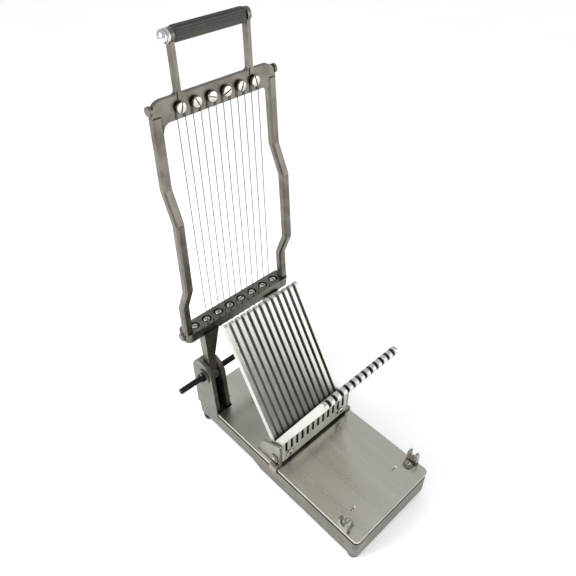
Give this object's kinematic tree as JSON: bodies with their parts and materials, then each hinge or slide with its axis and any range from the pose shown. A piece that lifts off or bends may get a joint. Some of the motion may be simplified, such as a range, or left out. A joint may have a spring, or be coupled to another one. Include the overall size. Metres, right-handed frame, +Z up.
{
  "type": "wire cheese cuber",
  "caption": "Counter-top wire cuber: slotted V cradle on a cast base and a hinged frame of parallel cutting wires with a bail handle.",
  "frame": {"origin": "bottom centre of the whole machine's box, on the counter", "axes": "+X to the right across the machine, +Y to the hinge at the back, +Z up"},
  "size_m": [0.1976, 0.302, 0.5487],
  "materials": {
    "cast_aluminium": "satin casting",
    "frame_aluminium": "tumbled casting",
    "deck_aluminium": "satin milled",
    "comb_aluminium": "tumbled casting",
    "carriage_aluminium": "satin casting",
    "rubber": "matte moulded",
    "stainless": "bright",
    "wire": "drawn",
    "bronze": "sintered",
    "black_rod": "black oxide",
    "grip": "moulded",
    "chrome": "polished"
  },
  "bodies": {
    "base": {"base_casting": "cast_aluminium", "deck_plate": "deck_aluminium", "rubber_feet": "rubber", "foot_screws": "stainless", "deck_screws": "stainless", "stop_lug_left": "carriage_aluminium", "stop_lug_right": "carriage_aluminium", "lug_screws": "stainless", "ear_bushes": "bronze"},
    "rod": {"hinge_rod": "black_rod", "rod_collar": "black_rod", "rod_set_screw": "stainless"},
    "arm": {"arm_frame": "frame_aluminium", "arm_bushes": "bronze", "handle_grip": "grip", "handle_bolt": "stainless", "handle_cap": "chrome", "cutting_wires": "wire", "tension_nuts": "stainless", "tension_washers": "stainless", "wire_anchor_screws": "stainless", "bar_end_screws": "stainless"},
    "carriage": {"carriage_shoe_left": "carriage_aluminium", "carriage_shoe_right": "carriage_aluminium", "cradle_pin": "stainless"},
    "cradle": {"rear_comb": "comb_aluminium", "front_comb": "comb_aluminium", "corner_bar": "cast_aluminium", "rear_comb_screws": "stainless", "foot_plate_screws": "stainless"},
    "screw_1": {"tension_screw_1": "stainless"},
    "screw_2": {"tension_screw_2": "stainless"},
    "screw_3": {"tension_screw_3": "stainless"},
    "screw_4": {"tension_screw_4": "stainless"},
    "screw_5": {"tension_screw_5": "stainless"},
    "screw_6": {"tension_screw_6": "stainless"}
  },
  "joints": [
    {"name": "arm_swing", "type": "hinge", "parent": "base", "child": "arm", "pos_m": [0.01025, 0.126, 0.1085], "axis": [-1, 0, 0], "range_deg": [-97, 0]},
    {"name": "rod_pull", "type": "slide", "parent": "base", "child": "rod", "axis": [-1, 0, 0], "range_m": [0, 0.15]},
    {"name": "carriage_slide", "type": "slide", "parent": "base", "child": "carriage", "axis": [0, -1, 0], "range_m": [0, 0.1035]},
    {"name": "cradle_tip", "type": "hinge", "parent": "carriage", "child": "cradle", "pos_m": [0.01025, -0.007, 0.0575], "axis": [-1, 0, 0], "range_deg": [-66, 0]},
    {"name": "tension_screw_1_turn", "type": "hinge", "parent": "arm", "child": "screw_1", "pos_m": [-0.03737, 0.13883, 0.47578], "axis": [0, 0.9994, -0.0349], "range_deg": [-180, 180]},
    {"name": "tension_screw_2_turn", "type": "hinge", "parent": "arm", "child": "screw_2", "pos_m": [-0.01833, 0.13883, 0.47578], "axis": [0, 0.9994, -0.0349], "range_deg": [-180, 180]},
    {"name": "tension_screw_3_turn", "type": "hinge", "parent": "arm", "child": "screw_3", "pos_m": [0.00072, 0.13883, 0.47578], "axis": [0, 0.9994, -0.0349], "range_deg": [-180, 180]},
    {"name": "tension_screw_4_turn", "type": "hinge", "parent": "arm", "child": "screw_4", "pos_m": [0.01978, 0.13883, 0.47578], "axis": [0, 0.9994, -0.0349], "range_deg": [-180, 180]},
    {"name": "tension_screw_5_turn", "type": "hinge", "parent": "arm", "child": "screw_5", "pos_m": [0.03882, 0.13883, 0.47578], "axis": [0, 0.9994, -0.0349], "range_deg": [-180, 180]},
    {"name": "tension_screw_6_turn", "type": "hinge", "parent": "arm", "child": "screw_6", "pos_m": [0.05788, 0.13883, 0.47578], "axis": [0, 0.9994, -0.0349], "range_deg": [-180, 180]}
  ]
}
